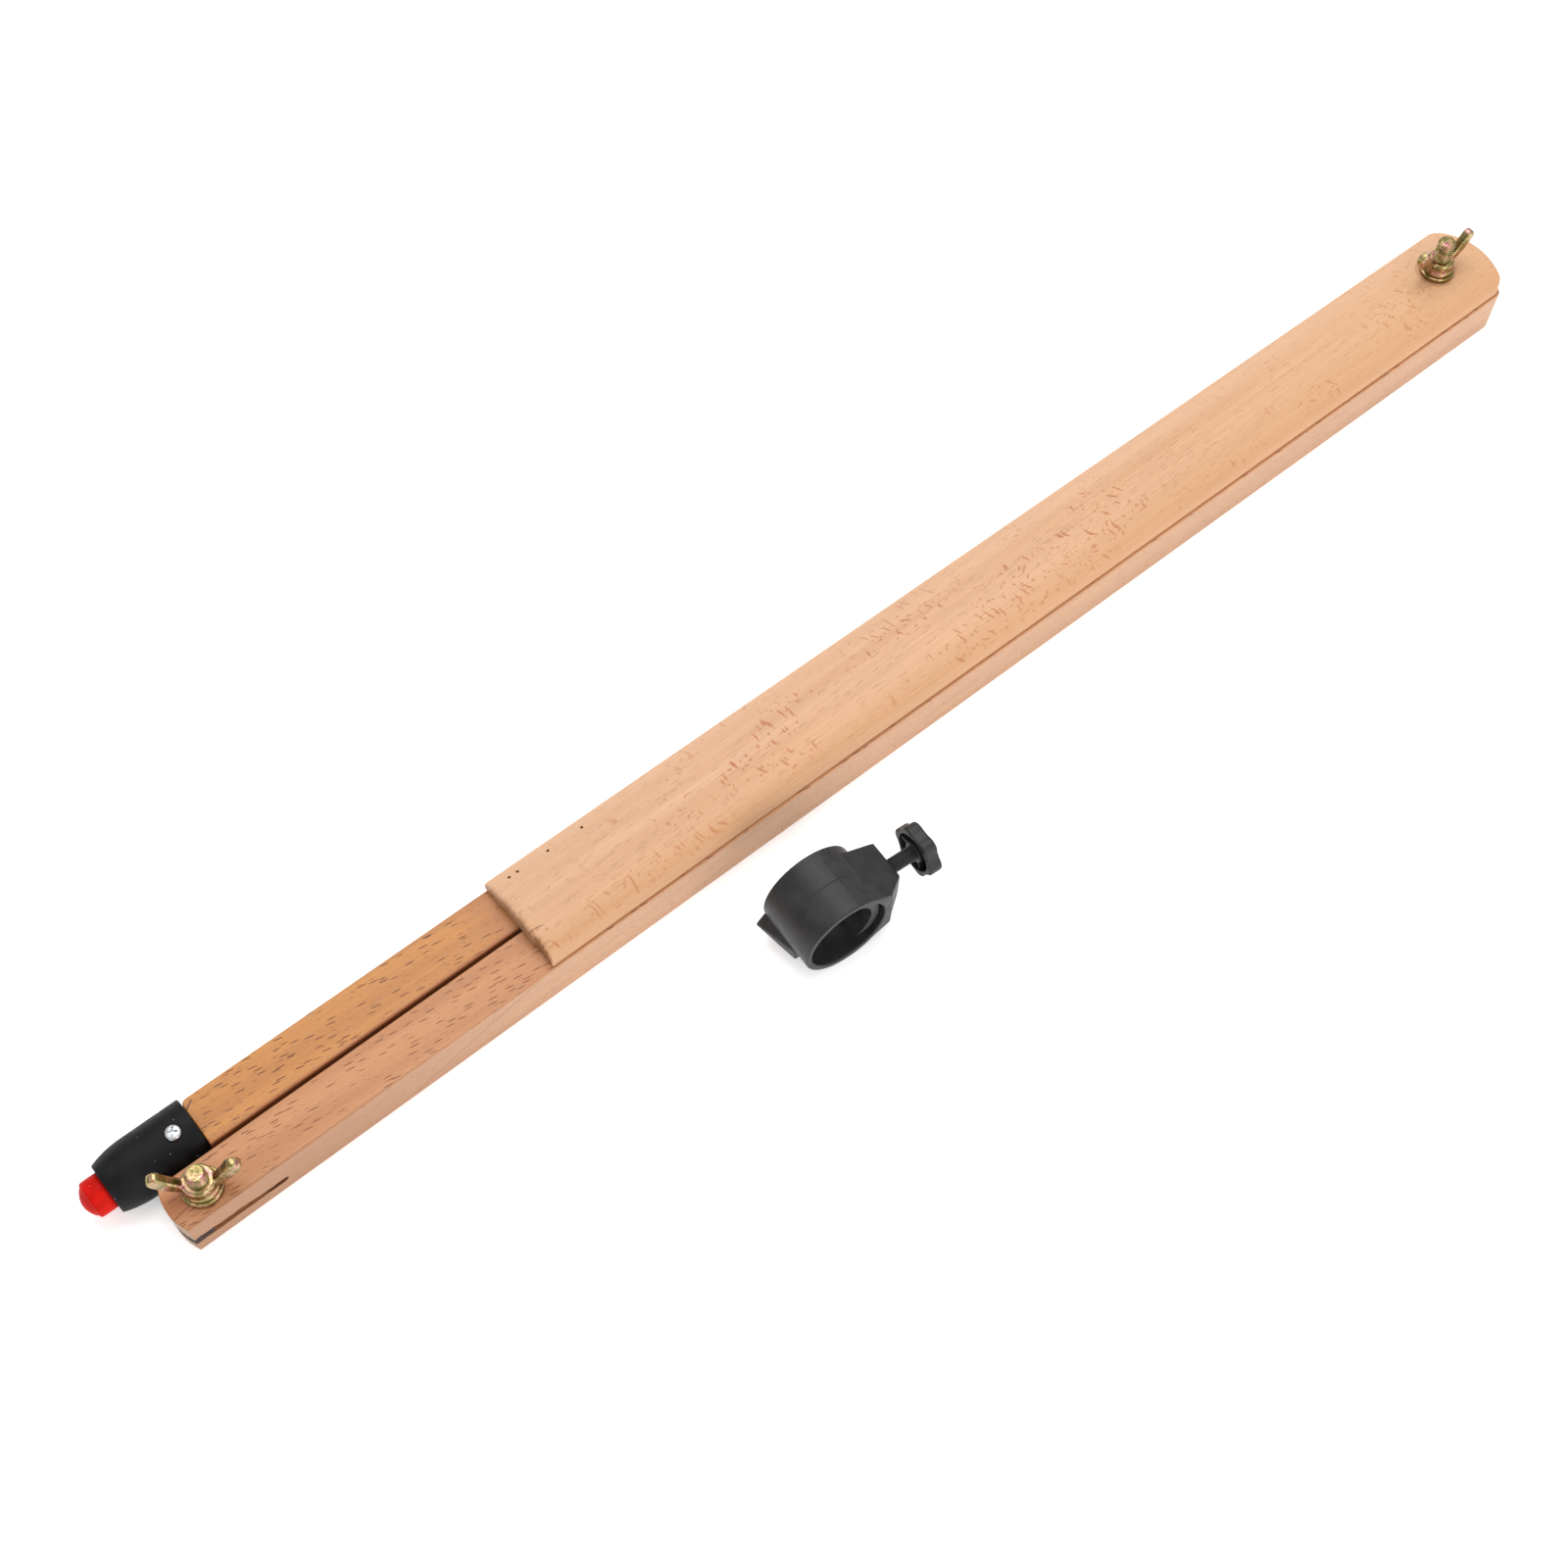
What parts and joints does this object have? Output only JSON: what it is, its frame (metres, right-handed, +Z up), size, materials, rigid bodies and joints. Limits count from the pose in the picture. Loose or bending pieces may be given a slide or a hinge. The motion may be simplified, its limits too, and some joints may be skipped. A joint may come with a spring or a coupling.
{
  "type": "wooden scribing compass",
  "caption": "Large wooden scribing compass: two beech legs on a wing-nut pivot, sawn clamp jaw, black ferrule with red rubber foot, and a loose pen ring with a screw knob.",
  "frame": {"origin": "middle of the clamp leg's flat underside, half-way along the leg", "axes": "+X along the legs towards the pivot, +Y from the clamp leg towards the foot leg, +Z up out of the board's top"},
  "size_m": [0.5614, 0.083, 0.0367],
  "materials": {
    "clamp_leg": "satin",
    "foot_leg": "satin",
    "handle_board": "satin",
    "brads": "dull",
    "yellow_zinc": "bright",
    "zinc": "bright",
    "ferrule": "matte",
    "tip": "soft",
    "ring": "satin"
  },
  "bodies": {
    "clamp_arm": {"clamp_leg": "clamp_leg", "pivot_bolt": "yellow_zinc", "clamp_bolt": "yellow_zinc"},
    "foot_arm": {"foot_leg": "foot_leg", "handle_board": "handle_board", "board_brads": "brads", "foot_ferrule": "ferrule", "ferrule_screw": "zinc", "foot_tip": "tip"},
    "pivot_washer": {"pivot_washer": "yellow_zinc"},
    "pivot_nut": {"pivot_wing_nut": "yellow_zinc"},
    "clamp_washer": {"clamp_washer": "yellow_zinc"},
    "clamp_nut": {"clamp_wing_nut": "yellow_zinc"},
    "pen_ring": {"pen_ring": "ring"},
    "ring_pad": {"ring_pad": "ring"},
    "ring_screw": {"ring_screw": "ring"}
  },
  "joints": [
    {"name": "leg_pivot", "type": "hinge", "parent": "clamp_arm", "child": "foot_arm", "pos_m": [0.2522, 0.0108, 0.0163], "axis": [0, 0, -1], "range_deg": [0, 180]},
    {"name": "pivot_washer_rise", "type": "slide", "parent": "clamp_arm", "child": "pivot_washer", "axis": [0, 0, 1], "range_m": [0, 0.007]},
    {"name": "pivot_nut_turn", "type": "hinge", "parent": "pivot_washer", "child": "pivot_nut", "pos_m": [0.2522, 0.0108, 0.0239], "axis": [0, 0, 1], "range_deg": [0, 2521]},
    {"name": "clamp_washer_rise", "type": "slide", "parent": "clamp_arm", "child": "clamp_washer", "axis": [0, 0, 1], "range_m": [0, 0.005]},
    {"name": "clamp_nut_turn", "type": "hinge", "parent": "clamp_washer", "child": "clamp_nut", "pos_m": [-0.2611, 0, 0.0176], "axis": [0, 0, 1], "range_deg": [0, 1801]},
    {"name": "pen_ring_lift", "type": "slide", "parent": "clamp_arm", "child": "pen_ring", "axis": [0, 0, 1], "range_m": [0, 0.06]},
    {"name": "ring_pad_push", "type": "slide", "parent": "pen_ring", "child": "ring_pad", "axis": [-0.9971, 0.0767, 0], "range_m": [-0.0004, 0.008]},
    {"name": "ring_screw_turn", "type": "hinge", "parent": "ring_pad", "child": "ring_screw", "pos_m": [-0.04053, -0.04455, 0.0152], "axis": [-0.9971, 0.0767, 0], "range_deg": [-181, 3601]}
  ],
  "couplings": [
    {"joint": "pivot_nut_turn", "follows": "pivot_washer_rise", "rad_per_m": 6283.2},
    {"joint": "clamp_nut_turn", "follows": "clamp_washer_rise", "rad_per_m": 6283.2},
    {"joint": "ring_screw_turn", "follows": "ring_pad_push", "rad_per_m": 7854}
  ]
}
